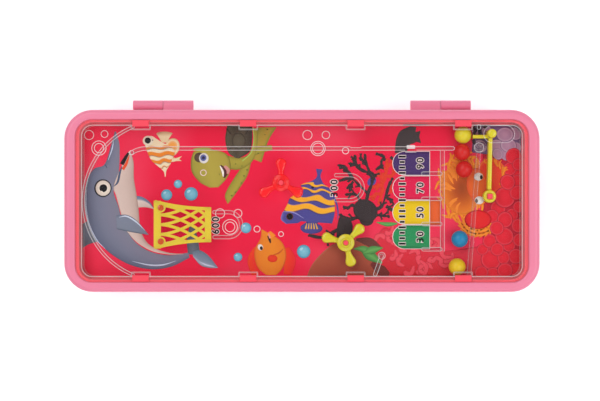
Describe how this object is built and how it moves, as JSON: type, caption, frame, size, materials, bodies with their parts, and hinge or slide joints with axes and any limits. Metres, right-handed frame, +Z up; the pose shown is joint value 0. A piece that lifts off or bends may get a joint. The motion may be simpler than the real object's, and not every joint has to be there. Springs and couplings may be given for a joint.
{
  "type": "pencil case with pinball game",
  "caption": "Hinged plastic pencil case with a hand pinball game in its lid: sprung launcher, ball lane, spinners, pockets and a score rack under a clear cover.",
  "frame": {"origin": "centre of the underside, on the surface that the case lies on", "axes": "+X along the case towards the launcher, +Y towards the hinges, +Z up"},
  "size_m": [0.24, 0.0974, 0.037],
  "materials": {
    "pink_shell": "satin moulded plastic",
    "tray_red": "moulded plastic",
    "printed_card": "coated card with a printed sea picture",
    "clear_plastic": "clear moulded polystyrene",
    "yellow_plastic": "glossy moulded plastic",
    "net_yellow": "glossy moulded plastic",
    "spinner_red": "translucent moulded plastic",
    "ball_yellow": "glossy bead",
    "ball_red": "glossy bead",
    "ball_blue": "glossy bead",
    "steel": "bright drawn wire and plate",
    "magnet": "dull grey ferrite"
  },
  "bodies": {
    "base": {"base_shell": "pink_shell", "hinge_pin_left": "steel", "hinge_pin_right": "steel", "catch_magnet": "magnet"},
    "lid": {"lid_shell": "pink_shell", "catch_plate": "steel", "game_tray": "tray_red", "playfield_card": "printed_card", "clear_cover": "clear_plastic", "lane_rail": "clear_plastic", "arc_guide": "clear_plastic", "score_rack": "clear_plastic", "pocket_600": "clear_plastic", "pocket_300": "clear_plastic", "gutter_rail": "clear_plastic", "deflector": "clear_plastic", "lane_stop": "clear_plastic", "basket_net": "net_yellow", "launcher_hub": "yellow_plastic"},
    "launcher_arm": {"launcher_arm": "yellow_plastic"},
    "spinner_red": {"spinner_red": "spinner_red"},
    "spinner_yellow": {"spinner_yellow": "yellow_plastic"},
    "ball_lane": {"ball_lane": "ball_yellow"},
    "ball_red_first": {"ball_red_first": "ball_red"},
    "ball_red_second": {"ball_red_second": "ball_red"},
    "ball_blue": {"ball_blue": "ball_blue"},
    "ball_yellow": {"ball_yellow": "ball_yellow"}
  },
  "joints": [
    {"name": "lid_hinge", "type": "hinge", "parent": "base", "child": "lid", "pos_m": [0, 0.0488, 0.02], "axis": [-1, 0, 0], "range_deg": [0, 180]},
    {"name": "launcher_pull", "type": "hinge", "parent": "lid", "child": "launcher_arm", "pos_m": [0.0951, 0.0023, 0.0267], "axis": [0, 0, 1], "range_deg": [-16, 0], "stiffness_Nm_per_rad": 0.1},
    {"name": "spinner_red_turn", "type": "hinge", "parent": "lid", "child": "spinner_red", "pos_m": [-0.0106, 0.0092, 0.027], "axis": [0, 0, 1], "continuous": true},
    {"name": "spinner_yellow_turn", "type": "hinge", "parent": "lid", "child": "spinner_yellow", "pos_m": [0.0222, -0.0212, 0.027], "axis": [0, 0, 1], "continuous": true},
    {"name": "lane_ball_roll", "type": "slide", "parent": "lid", "child": "ball_lane", "axis": [-1, 0, 0], "range_m": [0, 0.15]},
    {"name": "red_second_roll", "type": "slide", "parent": "lid", "child": "ball_red_second", "axis": [0.0786, 0.9969, 0], "range_m": [-0.01, 0]},
    {"name": "red_first_roll", "type": "slide", "parent": "lid", "child": "ball_red_first", "axis": [0.0786, 0.9969, 0], "range_m": [-0.01, 0]},
    {"name": "blue_roll", "type": "slide", "parent": "lid", "child": "ball_blue", "axis": [0.0786, 0.9969, 0], "range_m": [-0.003, 0.013]},
    {"name": "yellow_roll", "type": "slide", "parent": "lid", "child": "ball_yellow", "axis": [0.0786, 0.9969, 0], "range_m": [0, 0.002]}
  ],
  "couplings": [
    {"joint": "red_first_roll", "follows": "red_second_roll", "ratio": 1}
  ]
}
